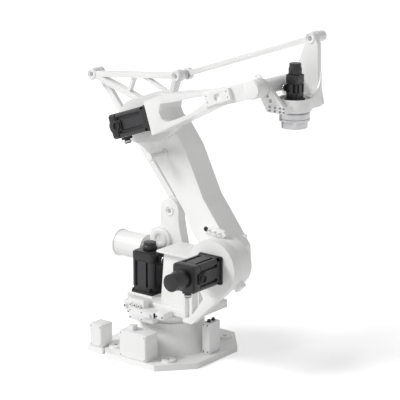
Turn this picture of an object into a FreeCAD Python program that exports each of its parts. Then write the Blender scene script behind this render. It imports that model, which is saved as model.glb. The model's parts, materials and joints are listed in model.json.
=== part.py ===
import FreeCAD, Part
import math
import os
import Sketcher
from FreeCAD import Placement, Rotation, Vector

# A four-axis palletising robot. The origin is on the floor, on the axis of the turning column.
# +Z is up, +X is the way the arm reaches, and the motors of the arm point towards -Y.
doc = FreeCAD.newDocument("PalletisingRobot")
sheet = doc.addObject("Spreadsheet::Sheet", "Sizes")


class Size:
    """A length or angle with its number and the sheet expression that it comes from."""

    def __init__(self, value, text):
        self.value = value
        self.text = text

    def __add__(self, other):
        return join(self, "+", other)

    def __radd__(self, other):
        return join(other, "+", self)

    def __sub__(self, other):
        return join(self, "-", other)

    def __rsub__(self, other):
        return join(other, "-", self)

    def __mul__(self, other):
        return join(self, "*", other)

    def __rmul__(self, other):
        return join(other, "*", self)

    def __truediv__(self, other):
        return join(self, "/", other)

    def __neg__(self):
        return join(0, "-", self)


def as_size(number):
    """Wrap a plain number, so that it can stand beside a named size."""
    return number if isinstance(number, Size) else Size(float(number), repr(float(number)))


def join(left, sign, right):
    """Combine two sizes, keeping the number and the expression in step."""
    left, right = as_size(left), as_size(right)
    results = {"+": left.value + right.value, "-": left.value - right.value, "*": left.value * right.value}
    value = left.value / right.value if sign == "/" else results[sign]
    return Size(value, f"({left.text} {sign} {right.text})")


def sine(angle):
    return Size(math.sin(math.radians(angle.value)), f"sin({angle.text})")


def cosine(angle):
    return Size(math.cos(math.radians(angle.value)), f"cos({angle.text})")


row = 0


def size(alias, value, note):
    """Write one driving dimension into the sheet and hand it back as a Size."""
    global row
    row += 1
    sheet.set(f"A{row}", note)
    sheet.set(f"B{row}", str(value))
    sheet.setAlias(f"B{row}", alias)
    return Size(float(value), f"Sizes.{alias}")


# Linkage: shoulder S, elbow E, wrist W, and the two parallelograms above them.
shoulder_x = size("shoulder_x", 530, "shoulder axis ahead of the column axis")
shoulder_z = size("shoulder_z", 700, "shoulder axis above the floor")
lower_length = size("lower_length", 1060, "shoulder to elbow")
lower_lean = size("lower_lean", 39.8, "backward lean of the lower arm, degrees")
upper_length = size("upper_length", 1040, "elbow to wrist")
upper_pitch = size("upper_pitch", 18.8, "upward pitch of the upper arm, degrees")
rear_link_x = size("rear_link_x", 619, "rear parallelogram, behind the shoulder and elbow")
rear_link_z = size("rear_link_z", 190, "rear parallelogram, above the shoulder and elbow")
top_link_x = size("top_link_x", 95, "upper parallelogram, ahead of the elbow and wrist")
top_link_z = size("top_link_z", 258, "upper parallelogram, above the elbow and wrist")
tool_ahead = size("tool_ahead", 125, "tool axis ahead of the wrist axis")
running_fit = size("running_fit", 0.08, "radial clearance of a pin in its bore")

elbow_x = shoulder_x - lower_length * sine(lower_lean)
elbow_z = shoulder_z + lower_length * cosine(lower_lean)
wrist_x = elbow_x + upper_length * cosine(upper_pitch)
wrist_z = elbow_z + upper_length * sine(upper_pitch)
foot_x, foot_z = shoulder_x - rear_link_x, shoulder_z + rear_link_z
rear_x, rear_z = elbow_x - rear_link_x, elbow_z + rear_link_z
front_x, front_z = elbow_x + top_link_x, elbow_z + top_link_z
crown_x, crown_z = wrist_x + top_link_x, wrist_z + top_link_z
tool_x = wrist_x + tool_ahead

# Planes across the machine, from the motors' side to the rods' side.
cheek_outer = size("cheek_outer", -250, "drive cheek, outer face")
cheek_inner = size("cheek_inner", -180, "drive cheek, inner face")
hub_outer = size("hub_outer", -170, "lower arm hub, outer face")
hub_inner = size("hub_inner", -50, "lower arm hub, inner face")
arm_low = size("arm_low", -105, "lower arm, motor side face")
arm_high = size("arm_high", 85, "lower arm, rod side face")
upper_low = size("upper_low", -330, "upper arm, outer face at its rear end")
upper_high = size("upper_high", -110, "upper arm, inner face")
elbow_cheek = size("elbow_cheek", -150, "upper arm, outer face of its elbow cheek")
side_low = size("side_low", 98, "rod side cheek, inner face")
side_high = size("side_high", 172, "rod side cheek, outer face")
rocker_low = size("rocker_low", 122, "rocker, inner face")
rocker_high = size("rocker_high", 176, "rocker, outer face")
rear_rod_y = size("rear_rod_y", 202, "rear rod, middle plane")
top_rod_y = size("top_rod_y", 250, "top rod, middle plane")
rod_thick = size("rod_thick", 32, "thickness of both rods")
yoke_low = size("yoke_low", 190, "wrist side plate, inner face")
yoke_high = size("yoke_high", 226, "wrist side plate, outer face")


def bind(thing, name, value):
    """Tie one property to the sheet."""
    thing.setExpression(name, as_size(value).text)


def body(name):
    """Start a sub-part, whose label names its file."""
    piece = doc.addObject("PartDesign::Body", name)
    piece.Label = name
    pieces.append(piece)
    return piece


def draw(piece, plane, shape, level):
    """Draw a closed outline or a circle on one of the body's own planes, at a level along its normal."""
    role = {"XY": "XY_Plane", "XZ": "XZ_Plane", "YZ": "YZ_Plane"}[plane]
    origin = [item for item in piece.Origin.OriginFeatures if item.Role == role][0]
    sketch = piece.newObject("Sketcher::SketchObject", f"{piece.Name}_sketch")
    sketch.AttachmentSupport = [(origin, "")]
    sketch.MapMode = "FlatFace"
    bind(sketch, "AttachmentOffset.Base.z", -level if plane == "XZ" else level)
    if len(shape) == 3 and not isinstance(shape[0], tuple):
        across, up, radius = [as_size(value) for value in shape]
        sketch.addGeometry(Part.Circle(Vector(across.value, up.value, 0), Vector(0, 0, 1), radius.value))
        for kind, value in (("DistanceX", across), ("DistanceY", up)):
            sketch.setExpression(f"Constraints[{sketch.addConstraint(fixed(kind, 0, 3, value))}]", value.text)
        last = sketch.addConstraint(Sketcher.Constraint("Radius", 0, radius.value))
        sketch.setExpression(f"Constraints[{last}]", radius.text)
        return sketch
    points = [(as_size(across), as_size(up)) for across, up in shape]
    for start, end in zip(points, points[1:] + points[:1]):
        sketch.addGeometry(Part.LineSegment(spot(start), spot(end)))
    for index, (across, up) in enumerate(points):
        following = (index + 1) % len(points)
        sketch.addConstraint(Sketcher.Constraint("Coincident", index, 2, following, 1))
        for kind, value in (("DistanceX", across), ("DistanceY", up)):
            number = sketch.addConstraint(fixed(kind, index, 1, value))
            sketch.setExpression(f"Constraints[{number}]", value.text)
    return sketch


def fixed(kind, item, end, value):
    """A constraint that holds one point of a sketch at a distance from the sketch's origin."""
    return Sketcher.Constraint(kind, item, end, value.value)


def spot(point):
    return Vector(point[0].value, point[1].value, 0)


def add(piece, plane, shape, low, high):
    """Add a slab of the outline between two levels."""
    start = high if plane == "XZ" else low
    pad = piece.newObject("PartDesign::Pad", f"{piece.Name}_pad")
    pad.Profile = draw(piece, plane, shape, as_size(start))
    bind(pad, "Length", as_size(high) - low)
    doc.recompute()
    return pad


def cut(piece, plane, shape, low, high):
    """Cut the outline out between two levels, and make sure that it removes something."""
    before = piece.Shape.Volume
    start = low if plane == "XZ" else high
    pocket = piece.newObject("PartDesign::Pocket", f"{piece.Name}_pocket")
    pocket.Profile = draw(piece, plane, shape, as_size(start))
    bind(pocket, "Length", as_size(high) - low)
    doc.recompute()
    if before - piece.Shape.Volume < 1.0:
        raise RuntimeError(f"{piece.Name}: a pocket cuts nothing")
    return pocket


def spin(piece, shape):
    """Turn an outline of (radius, height) points round the column axis."""
    turned = piece.newObject("PartDesign::Revolution", f"{piece.Name}_turned")
    turned.Profile = draw(piece, "XZ", shape, as_size(0))
    turned.ReferenceAxis = (turned.Profile[0], ["V_Axis"])
    turned.Angle = 360
    doc.recompute()
    return turned


def soften(piece, radius, wanted):
    """Round the edges that the test picks out of the body as it stands."""
    names = [f"Edge{number + 1}" for number, edge in enumerate(piece.Shape.Edges) if wanted(edge)]
    solid = piece.Tip
    rounding = piece.newObject("PartDesign::Fillet", f"{piece.Name}_fillet")
    rounding.Base = (solid, names)
    bind(rounding, "Radius", radius)
    doc.recompute()
    return rounding


def along(axis):
    """A test for straight edges that run along one axis."""
    def test(edge):
        if edge.Curve.TypeId != "Part::GeomLine":
            return False
        return abs(edge.tangentAt(edge.FirstParameter).dot(axis)) > 0.999
    return test


def rect(x_low, x_high, z_low, z_high):
    return [(x_low, z_low), (x_high, z_low), (x_high, z_high), (x_low, z_high)]


def square(x_middle, z_middle, side):
    return rect(x_middle - side / 2, x_middle + side / 2, z_middle - side / 2, z_middle + side / 2)


def tilted(x_middle, z_middle, angle, corners):
    """Corners given along and across a tilted direction, as points of the plane."""
    sin_tilt, cos_tilt = sine(angle), cosine(angle)
    return [(x_middle + cos_tilt * length - sin_tilt * across,
             z_middle + sin_tilt * length + cos_tilt * across)
            for length, across in corners]


def bar(start, end, width):
    """Outline of a straight bar of even width between two points."""
    (x_start, z_start), (x_end, z_end) = start, end
    run, rise = as_size(x_end) - x_start, as_size(z_end) - z_start
    reach = Size(math.hypot(run.value, rise.value), f"sqrt({run.text}^2 + {rise.text}^2)")
    side_x, side_z = rise / reach * width / 2, run / reach * width / 2
    return [(x_start + side_x, z_start - side_z), (x_end + side_x, z_end - side_z),
            (x_end - side_x, z_end + side_z), (x_start - side_x, z_start + side_z)]


pieces = []
y_way, z_way = Vector(0, 1, 0), Vector(0, 0, 1)

# Foot of the machine: an eight-sided plate, a flared pedestal and four anchor pads.
plate_x = size("plate_x", 385, "half width of the base plate, fore and aft")
plate_y = size("plate_y", 415, "half width of the base plate, side to side")
corner_x = size("corner_x", 205, "where the plate's cut corners start, fore and aft")
corner_y = size("corner_y", 210, "where the plate's cut corners start, side to side")
plate_thick = size("plate_thick", 40, "base plate thickness")
pedestal_foot = size("pedestal_foot", 282, "pedestal radius at the plate")
pedestal_top = size("pedestal_top", 222, "pedestal radius under the ring")
pedestal_height = size("pedestal_height", 235, "top of the pedestal")
pedestal_flare = size("pedestal_flare", 12, "how much wider the pedestal is at the foot of its taper")
flare_low = size("flare_low", 0.62, "foot of the pedestal's taper, share of its height")
flare_high = size("flare_high", 0.74, "top of the pedestal's taper, share of its height")
cable_way = size("cable_way", 90, "radius of the cable way through the column")
anchor_x = size("anchor_x", 440, "anchor bolt spacing, fore and aft")
anchor_y = size("anchor_y", 580, "anchor bolt spacing, side to side")
anchor_hole = size("anchor_hole", 27, "anchor bolt hole diameter")
anchor_pad = size("anchor_pad", 46, "anchor pad radius")
anchor_rise = size("anchor_rise", 14, "anchor pad height above the plate")

box_wall = size("box_wall", 290, "how far out the front junction box starts")
box_front_depth = size("box_front_depth", 118, "front junction box depth")
box_front_width = size("box_front_width", 222, "front junction box width")
box_front_x = size("box_front_x", -88, "front junction box, rear end")
box_front_height = size("box_front_height", 175, "front junction box height")
box_rear_x = size("box_rear_x", -376, "rear junction box, rear end")
box_rear_width = size("box_rear_width", 104, "rear junction box length")
box_rear_y = size("box_rear_y", -262, "rear junction box, inner face")
box_rear_depth = size("box_rear_depth", 108, "rear junction box depth")
box_rear_height = size("box_rear_height", 150, "rear junction box height")
box_side_x = size("box_side_x", 288, "cable outlet box, inner face")
box_side_depth = size("box_side_depth", 62, "cable outlet box depth")
box_side_y = size("box_side_y", -38, "cable outlet box, near side")
box_side_width = size("box_side_width", 112, "cable outlet box width")
box_side_height = size("box_side_height", 205, "cable outlet box height")
box_round = size("box_round", 8, "corner radius of the boxes")
box_rim = size("box_rim", 10, "plate left showing round the rear junction box")
box_shelf = size("box_shelf", 60, "how far the rear box's plate runs in under the base plate")

base = body("base_casting")
octagon = [(corner_x, -plate_y), (plate_x, -corner_y), (plate_x, corner_y), (corner_x, plate_y),
           (-corner_x, plate_y), (-plate_x, corner_y), (-plate_x, -corner_y), (-corner_x, -plate_y)]
add(base, "XY", octagon, 0, plate_thick)
spin(base, [(cable_way, plate_thick / 2), (pedestal_foot, plate_thick / 2), (pedestal_foot, plate_thick),
            (pedestal_top + pedestal_flare, pedestal_height * flare_low),
            (pedestal_top, pedestal_height * flare_high),
            (pedestal_top, pedestal_height), (cable_way, pedestal_height)])
add(base, "XY", rect(box_rear_x - box_rim, box_rear_x + box_rear_width + box_rim,
                     box_rear_y - box_rear_depth - box_rim, box_rear_y + box_shelf), 0, plate_thick)
for across in (-1, 1):
    for fore in (-1, 1):
        add(base, "XY", (anchor_x * (fore / 2), anchor_y * (across / 2), anchor_pad),
            0, plate_thick + anchor_rise)
for across in (-1, 1):
    for fore in (-1, 1):
        cut(base, "XY", (anchor_x * (fore / 2), anchor_y * (across / 2), anchor_hole / 2),
            0, plate_thick + anchor_rise)
cut(base, "XY", (0, 0, cable_way), 0, pedestal_height)

# Lower half of the turning bearing, bolted on the pedestal.
ring_radius = size("ring_radius", 205, "turning ring radius")
ring_top = size("ring_top", 284, "top of the fixed ring")
turret_base = size("turret_base", 300, "underside of the turning deck")
ring_gap = size("ring_gap", 0.3, "running gap of the slew bearing")
ring_groove = size("ring_groove", 5, "open groove between the fixed and the turning ring")
ring_chamfer = size("ring_chamfer", 8, "chamfer of the fixed ring")
ring_rebate = size("ring_rebate", 26, "depth of the groove between the rings")
ring = body("slew_ring")
spin(ring, [(cable_way, pedestal_height), (ring_radius, pedestal_height),
            (ring_radius, ring_top - ring_chamfer),
            (ring_radius - ring_chamfer, ring_top), (cable_way, ring_top)])

# Junction boxes on the base plate, outside the pedestal.
front_box = body("junction_box_front")
add(front_box, "XY", rect(box_front_x, box_front_x + box_front_width, -box_wall - box_front_depth, -box_wall),
    plate_thick, plate_thick + box_front_height)
soften(front_box, box_round, along(z_way))
rear_box = body("junction_box_rear")
add(rear_box, "XY", rect(box_rear_x, box_rear_x + box_rear_width, box_rear_y - box_rear_depth, box_rear_y),
    plate_thick, plate_thick + box_rear_height)
soften(rear_box, box_round, along(z_way))
side_box = body("cable_outlet_box")
add(side_box, "XY", rect(box_side_x, box_side_x + box_side_depth, box_side_y, box_side_y + box_side_width),
    plate_thick, plate_thick + box_side_height)
soften(side_box, box_round, along(z_way))

# Turning deck on the upper half of the bearing, with a raised pad under the column motor.
deck_rear = size("deck_rear", -272, "deck, rear end")
deck_front = size("deck_front", 330, "deck, front end")
deck_side = size("deck_side", 180, "deck, half width")
deck_top = size("deck_top", 352, "deck, top face")
deck_corner = size("deck_corner", 60, "cut corners of the deck")
motor_one_x = size("motor_one_x", -160, "column motor axis, fore and aft")
motor_one_y = size("motor_one_y", -15, "column motor axis, side to side")
motor_flange = size("motor_flange", 180, "flange side of the three large motors")
motor_rise = size("motor_rise", 362, "column motor, flange face")
deck_round = size("deck_round", 12, "corner radius of the deck")
motor_pad_rim = size("motor_pad_rim", 14, "how much wider the motor's pad is than its flange")

upper_ring = body("slew_ring_turning")
spin(upper_ring, [(cable_way, ring_top + ring_gap), (ring_radius - ring_rebate, ring_top + ring_gap),
                  (ring_radius - ring_rebate, ring_top + ring_groove), (ring_radius, ring_top + ring_groove),
                  (ring_radius, turret_base), (cable_way, turret_base)])
deck = body("turret_deck")
deck_outline = [(deck_rear, -deck_side + deck_corner), (deck_rear + deck_corner, -deck_side),
                (deck_front, -deck_side), (deck_front, deck_side), (deck_rear + deck_corner, deck_side),
                (deck_rear, deck_side - deck_corner)]
add(deck, "XY", deck_outline, turret_base, deck_top)
soften(deck, deck_round, along(z_way))
add(deck, "XY", square(motor_one_x, motor_one_y, motor_flange + motor_pad_rim), turret_base, motor_rise)

# Turret column: the box casting between the drive cheek and the link post, closed by a shelf on top.
column_rear = size("column_rear", 10, "turret column, rear face")
column_front = size("column_front", 322, "turret column, front face")
column_low = size("column_low", -110, "turret column, motor side face")
shelf_low = size("shelf_low", -150, "shelf of the turret column, motor side edge")
shelf_top = size("shelf_top", 700, "top of the turret column's shelf")
shelf_thick = size("shelf_thick", 14, "thickness of the shelf")
column_slope = size("column_slope", 110, "height of the sloping front of the turret column")
column_round = size("column_round", 14, "corner radius of the turret column")
column = body("turret_column")
add(column, "XZ", [(column_rear, deck_top), (column_front, deck_top), (column_front, shelf_top - column_slope),
                   (column_front - 40, shelf_top - shelf_thick), (column_rear + 30, shelf_top - shelf_thick)],
    column_low, side_low)
soften(column, column_round, along(y_way))
add(column, "XZ", rect(column_rear, column_front - 30, shelf_top - shelf_thick, shelf_top),
    shelf_low, side_low)

# Drive cheek: a ribbed bracket that carries the shoulder motor's ring, with a triangular window.
cheek_ring = size("cheek_ring", 177, "outer radius of the shoulder ring")
cheek_rear = size("cheek_rear", 292, "drive cheek, rear edge")
cheek_foot = size("cheek_foot", 366, "drive cheek, front end of its foot")
cheek_recess = size("cheek_recess", 12, "how far the cheek's plate lies behind its ring")
cheek_pocket = size("cheek_pocket", 24, "plate left behind the cheek's pocket")
cheek = body("drive_cheek")
add(cheek, "XZ", [(cheek_rear, turret_base), (cheek_foot, turret_base), (shoulder_x + 122, shoulder_z - 128),
                  (shoulder_x - 120, shoulder_z + 128), (cheek_rear + 34, shoulder_z),
                  (cheek_rear, deck_top + 190)],
    cheek_outer + cheek_recess, cheek_inner)
add(cheek, "XZ", (shoulder_x, shoulder_z, cheek_ring), cheek_outer, cheek_inner)
cut(cheek, "XZ", [(cheek_rear + 76, turret_base + 62), (shoulder_x - 74, shoulder_z - 220),
                  (shoulder_x - 96, shoulder_z - 172), (cheek_rear + 76, deck_top + 156)],
    cheek_outer, cheek_inner)
cut(cheek, "XZ", rect(cheek_rear + 22, cheek_rear + 56, turret_base + 34, deck_top + 156),
    cheek_outer, cheek_inner - cheek_pocket)
add(cheek, "XZ", rect(cheek_rear - 40, deck_front - 8, deck_top, deck_top + 18),
    cheek_inner - 8, cheek_inner + 62)

# Rod side post: it stands on the deck and holds the fixed pin of the rear rod.
foot_boss = size("foot_boss", 78, "radius of the boss at the rear rod's fixed pin")
post_rear = size("post_rear", -167, "rear face of the rear rod's post")
post_foot = size("post_foot", 150, "front end of the post's foot")
post_round = size("post_round", 14, "corner radius of the post")
post_pocket = size("post_pocket", 26, "depth of the pocket in the post")
side = body("link_post")
add(side, "XZ", [(post_rear, deck_top), (post_foot, deck_top), (post_foot - 30, deck_top + 90),
                 (34, deck_top + 250), (foot_x + foot_boss - 2, foot_z - 60), (foot_x + foot_boss - 2, foot_z),
                 (post_rear, foot_z)], side_low, side_high)
soften(side, post_round, along(y_way))
add(side, "XZ", (foot_x, foot_z, foot_boss), side_low, side_high)
cut(side, "XZ", [(post_rear + 46, deck_top + 40), (60, deck_top + 40), (0, deck_top + 220),
                 (-30, deck_top + 360), (post_rear + 46, deck_top + 360)], side_high - post_pocket, side_high)

# Shoulder: the gear unit in the drive cheek and the shaft that the lower arm turns on.
gear_radius = size("gear_radius", 150, "shoulder gear radius")
shoulder_pin = size("shoulder_pin", 72, "shoulder shaft radius")
hub_gap = size("hub_gap", 2, "gap between the gear unit and the lower arm's hub")
gear = body("shoulder_gear")
add(gear, "XZ", (shoulder_x, shoulder_z, gear_radius), cheek_inner, hub_outer - hub_gap)
shaft = body("shoulder_shaft")
add(shaft, "XZ", (shoulder_x, shoulder_z, shoulder_pin), hub_outer - hub_gap, hub_inner)

# Motors: a square flange, a slightly smaller body, a square rear cap and a plug block.
motor_body = size("motor_body", 172, "body side of the three large motors")
motor_cap = size("motor_cap", 126, "rear cap side of the three large motors")
flange_thick = size("flange_thick", 16, "motor flange thickness")
shoulder_length = size("shoulder_length", 272, "flange face to rear cap, shoulder motor")
elbow_length = size("elbow_length", 322, "flange face to rear cap, elbow motor")
column_length = size("column_length", 280, "flange face to rear cap, column motor")
shoulder_cap = size("shoulder_cap", 124, "rear cap length of the shoulder motor")
elbow_cap = size("elbow_cap", 34, "rear cap length of the elbow motor")
column_cap = size("column_cap", 52, "rear cap length of the column motor")
column_cap_side = size("column_cap_side", 96, "rear cap side of the column motor")
plug_side = size("plug_side", 58, "plug block side")
plug_rise = size("plug_rise", 46, "plug block height off the motor")
plug_inset = size("plug_inset", 14, "shoulder motor's plug, ahead of the motor's rear end")
elbow_inset = size("elbow_inset", 16, "elbow motor's plug, ahead of the motor's rear end")
plug_bottom = size("plug_bottom", 84, "column motor's plug, its lower end below the motor's top")
plug_top = size("plug_top", 22, "column motor's plug, its upper end below the motor's top")
motor_round = size("motor_round", 9, "corner radius of the large motors")
cap_round = size("cap_round", 22, "corner radius of the large motors' rear caps")
plug_round = size("plug_round", 6, "corner radius of the plug blocks")


def motor_part(name, side, low, high, corner):
    """One square length of the shoulder motor, between two levels across the machine."""
    piece = body(name)
    add(piece, "XZ", square(shoulder_x, shoulder_z, side), low, high)
    soften(piece, corner, along(y_way))
    return piece


shoulder_back = cheek_outer - shoulder_length
shoulder_motor = motor_part("motor_2_body", motor_body, shoulder_back, cheek_outer - flange_thick / 2,
                            motor_round)
add(shoulder_motor, "XZ", square(shoulder_x, shoulder_z, motor_flange),
    cheek_outer - flange_thick, cheek_outer)
motor_part("motor_2_cap", motor_cap, shoulder_back - shoulder_cap, shoulder_back, cap_round)
shoulder_plug = body("motor_2_plug")
add(shoulder_plug, "XZ", rect(shoulder_x - plug_side / 2, shoulder_x + plug_side / 2,
                              shoulder_z - motor_body / 2 - plug_rise, shoulder_z - motor_body / 2),
    shoulder_back + plug_inset, shoulder_back + plug_inset + plug_side)
soften(shoulder_plug, plug_round, along(y_way))

motor_one = body("motor_1_body")
add(motor_one, "XY", square(motor_one_x, motor_one_y, motor_flange), motor_rise, motor_rise + flange_thick)
add(motor_one, "XY", square(motor_one_x, motor_one_y, motor_body), motor_rise, motor_rise + column_length)
soften(motor_one, motor_round, along(z_way))
motor_one_cap = body("motor_1_cap")
add(motor_one_cap, "XY", square(motor_one_x, motor_one_y, column_cap_side),
    motor_rise + column_length, motor_rise + column_length + column_cap)
soften(motor_one_cap, cap_round, along(z_way))
motor_one_plug = body("motor_1_plug")
add(motor_one_plug, "XY", rect(motor_one_x + motor_body / 2, motor_one_x + motor_body / 2 + plug_rise,
                               motor_one_y - plug_side / 2, motor_one_y + plug_side / 2),
    motor_rise + column_length - plug_bottom, motor_rise + column_length - plug_top)
soften(motor_one_plug, plug_round, along(z_way))

# Fixed pin of the rear rod.
link_pin = size("link_pin", 22, "radius of the linkage pins")
pin_head = size("pin_head", 28, "radius of the linkage pin heads")
head_thick = size("head_thick", 9, "thickness of the linkage pin heads")
rod_play = size("rod_play", 2, "side play of a rod under its pin's head")
pin_end_rear = rear_rod_y + rod_thick / 2 + rod_play
foot_pin = body("foot_pin")
add(foot_pin, "XZ", (foot_x, foot_z, link_pin), side_high, pin_end_rear)
add(foot_pin, "XZ", (foot_x, foot_z, pin_head), pin_end_rear, pin_end_rear + head_thick)

# Balance unit: a spring can that lies behind the rear rod's post, and the neck that carries it.
can_radius = size("can_radius", 92, "balance can radius")
can_rear = size("can_rear", -545, "balance can, rear end")
can_front = size("can_front", -300, "balance can, front end")
can_y = size("can_y", 135, "balance can axis, side to side")
can_z = size("can_z", 590, "balance can axis, height")
can_rim = size("can_rim", 14, "balance can rim width")
can_step = size("can_step", 5, "height of the rims over the can")
neck_radius = size("neck_radius", 56, "balance unit neck radius")
can = body("balance_can")
add(can, "YZ", (can_y, can_z, can_radius - can_step), can_rear + can_rim, can_front)
add(can, "YZ", (can_y, can_z, can_radius), can_rear, can_rear + can_rim)
add(can, "YZ", (can_y, can_z, can_radius), can_front - can_rim, can_front)
neck = body("balance_neck")
add(neck, "YZ", (can_y, can_z, neck_radius), can_front, post_rear)

# Cable blocks on the deck's motor side.
long_block_x = size("long_block_x", -150, "long cable block, rear end")
long_block = size("long_block", 130, "long cable block, length")
long_block_low = size("long_block_low", 4, "long cable block, underside above the deck's underside")
long_block_high = size("long_block_high", 74, "long cable block, top above the deck's underside")
long_block_out = size("long_block_out", -246, "long cable block, outer face")
short_block_x = size("short_block_x", -206, "short cable block, rear end")
short_block = size("short_block", 50, "short cable block, length")
short_block_low = size("short_block_low", -18, "short cable block, underside above the deck's underside")
short_block_high = size("short_block_high", 50, "short cable block, top above the deck's underside")
short_block_out = size("short_block_out", -230, "short cable block, outer face")
block_round = size("block_round", 6, "corner radius of the cable blocks")
block_front = body("cable_block_front")
add(block_front, "XZ", rect(long_block_x, long_block_x + long_block, turret_base + long_block_low,
                            turret_base + long_block_high), long_block_out, -deck_side)
soften(block_front, block_round, along(y_way))
block_rear = body("cable_block_rear")
add(block_rear, "XZ", rect(short_block_x, short_block_x + short_block, turret_base + short_block_low,
                           turret_base + short_block_high), short_block_out, -deck_side)
soften(block_rear, block_round, along(y_way))

# Lower arm: a bent box casting with a round hub at the shoulder and a wide head at the elbow. Its outline
# is a row of places along the arm from the shoulder and across it.
hub_radius = size("hub_radius", 160, "lower arm hub radius")
head_radius = size("head_radius", 142, "lower arm head radius")
elbow_pin = size("elbow_pin", 62, "elbow shaft radius")
arm_round = size("arm_round", 16, "corner radius of the lower arm")
lug_half = size("lug_half", 34, "half width of the stop lug, and its reach past the hub")
lug_thick = size("lug_thick", 40, "thickness of the stop lug")
bore_floor = size("bore_floor", 10, "end of the shoulder bore, past the hub's inner face")
arm_turn = lower_lean + 90
arm = body("lower_arm")
add(arm, "XZ", tilted(shoulder_x, shoulder_z, arm_turn,
                      [(1, 142), (127, 90), (268, 110), (434, 76), (lower_length - 260, 65),
                       (lower_length, head_radius), (lower_length + 137, -36), (lower_length + 38, -136),
                       (lower_length - 178, -191), (lower_length - 333, -184), (409, -106), (191, -99),
                       (34, -91), (-51, -30), (-91, 63)]), arm_low, arm_high)
soften(arm, arm_round, along(y_way))
add(arm, "XZ", (elbow_x, elbow_z, head_radius), arm_low, arm_high)
add(arm, "XZ", (shoulder_x, shoulder_z, hub_radius), hub_outer, hub_inner)
add(arm, "XZ", tilted(shoulder_x, shoulder_z, size("stop_turn", -45, "place of the stop lug, degrees"),
                      [(hub_radius - 30, -lug_half), (hub_radius + lug_half, -lug_half),
                       (hub_radius + lug_half, lug_half), (hub_radius - 30, lug_half)]),
    arm_low - lug_thick, arm_low)
cut(arm, "XZ", (shoulder_x, shoulder_z, shoulder_pin + running_fit), hub_outer, hub_inner + bore_floor)
cut(arm, "XZ", (elbow_x, elbow_z, elbow_pin), arm_low, arm_high)

elbow_shaft = body("elbow_shaft")
add(elbow_shaft, "XZ", (elbow_x, elbow_z, elbow_pin), elbow_cheek + 10, rocker_high)

# Stop bar under the elbow and the hose bracket above the hub, both on the lower arm.
stop_back = size("stop_back", 267, "stop bar, below the elbow along the lower arm")
stop_across = size("stop_across", -26, "stop bar, across the lower arm")
stop_radius = size("stop_radius", 17, "radius of the stop bar")
stop_reach = size("stop_reach", 130, "length of the stop bar")
stop_head = size("stop_head", 25, "radius of the stop bar's head")
stop_head_thick = size("stop_head_thick", 22, "thickness of the stop bar's head")
stop_collar = size("stop_collar", 27, "radius of the stop bar's collar")
collar_thick = size("collar_thick", 12, "thickness of the stop bar's collar")
stop_x, stop_z = tilted(shoulder_x, shoulder_z, arm_turn, [(lower_length - stop_back, stop_across)])[0]
stop_bar = body("elbow_stop")
add(stop_bar, "XZ", (stop_x, stop_z, stop_radius), arm_low - stop_reach, arm_low)
add(stop_bar, "XZ", (stop_x, stop_z, stop_head), arm_low - stop_reach - stop_head_thick, arm_low - stop_reach)
add(stop_bar, "XZ", (stop_x, stop_z, stop_collar), arm_low - collar_thick, arm_low)
hose_bracket = body("hose_bracket")
bracket_along = size("bracket_along", 194, "hose bracket, along the lower arm")
bracket_across = size("bracket_across", -68, "hose bracket, across the lower arm")
bracket_turn = size("bracket_turn", -6, "turn of the hose bracket, degrees")
bracket_thick = size("bracket_thick", 26, "hose bracket thickness")
bracket_half = size("bracket_half", 96, "half length of the hose bracket")
bracket_hole = size("bracket_hole", 7, "radius of the holes in the hose bracket")
bracket_x, bracket_z = tilted(shoulder_x, shoulder_z, arm_turn, [(bracket_along, bracket_across)])[0]
add(hose_bracket, "XZ", tilted(bracket_x, bracket_z, bracket_turn,
                               [(-bracket_half, -20), (70, -20), (bracket_half, 0), (70, 24), (-80, 24)]),
    arm_low - bracket_thick, arm_low)
for place in (-62, -34, 8, 48):
    x_hole, z_hole = tilted(bracket_x, bracket_z, bracket_turn, [(place, 2)])[0]
    cut(hose_bracket, "XZ", (x_hole, z_hole, bracket_hole), arm_low - bracket_thick, arm_low)

# Rocker: a triangular lattice that keeps its attitude while the arm moves.
rocker_boss = size("rocker_boss", 39, "radius of the rocker's outer bosses")
rocker_hub = size("rocker_hub", 98, "radius of the rocker's hub")
rocker_bar = size("rocker_bar", 36, "width of the rocker's bars")
rocker_gap = size("rocker_gap", 4, "gap between the lower arm and the rocker's hub")
brace_share = size("brace_share", 0.6, "width of the rocker's braces as a share of its bars")
brace_inset = size("brace_inset", 10, "how far the braces lie inside the bars' faces")
rocker = body("rocker_frame")
elbow, rear, front = (elbow_x, elbow_z), (rear_x, rear_z), (front_x, front_z)
add(rocker, "XZ", (elbow_x, elbow_z, rocker_hub), arm_high + rocker_gap, rocker_high)
add(rocker, "XZ", bar(elbow, rear, rocker_bar), rocker_low, rocker_high)
add(rocker, "XZ", (rear_x, rear_z, rocker_boss), rocker_low, rocker_high)
add(rocker, "XZ", bar(rear, front, rocker_bar), rocker_low, rocker_high)
add(rocker, "XZ", (front_x, front_z, rocker_boss), rocker_low, rocker_high)
add(rocker, "XZ", bar(front, elbow, rocker_bar), rocker_low, rocker_high)
chord_rear = (rear_x + (front_x - rear_x) * 0.5, rear_z + (front_z - rear_z) * 0.5)
chord_front = (rear_x + (front_x - rear_x) * 0.58, rear_z + (front_z - rear_z) * 0.58)
lower_joint = (rear_x + rear_link_x * 0.49, rear_z - rear_link_z * 0.49)
for upper_end, lower_end in ((chord_rear, lower_joint), (chord_front, (front_x - 40, front_z - 132))):
    add(rocker, "XZ", bar(upper_end, lower_end, rocker_bar * brace_share),
        rocker_low + brace_inset, rocker_high - brace_inset)
cut(rocker, "XZ", (elbow_x, elbow_z, elbow_pin + running_fit), arm_high + rocker_gap, rocker_high)


def link_pin_across(name, x_middle, z_middle, low, end):
    """A headed pin that stands on the rod side of a frame."""
    pin = body(name)
    add(pin, "XZ", (x_middle, z_middle, link_pin), low, end)
    add(pin, "XZ", (x_middle, z_middle, pin_head), end, end + head_thick)


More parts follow.
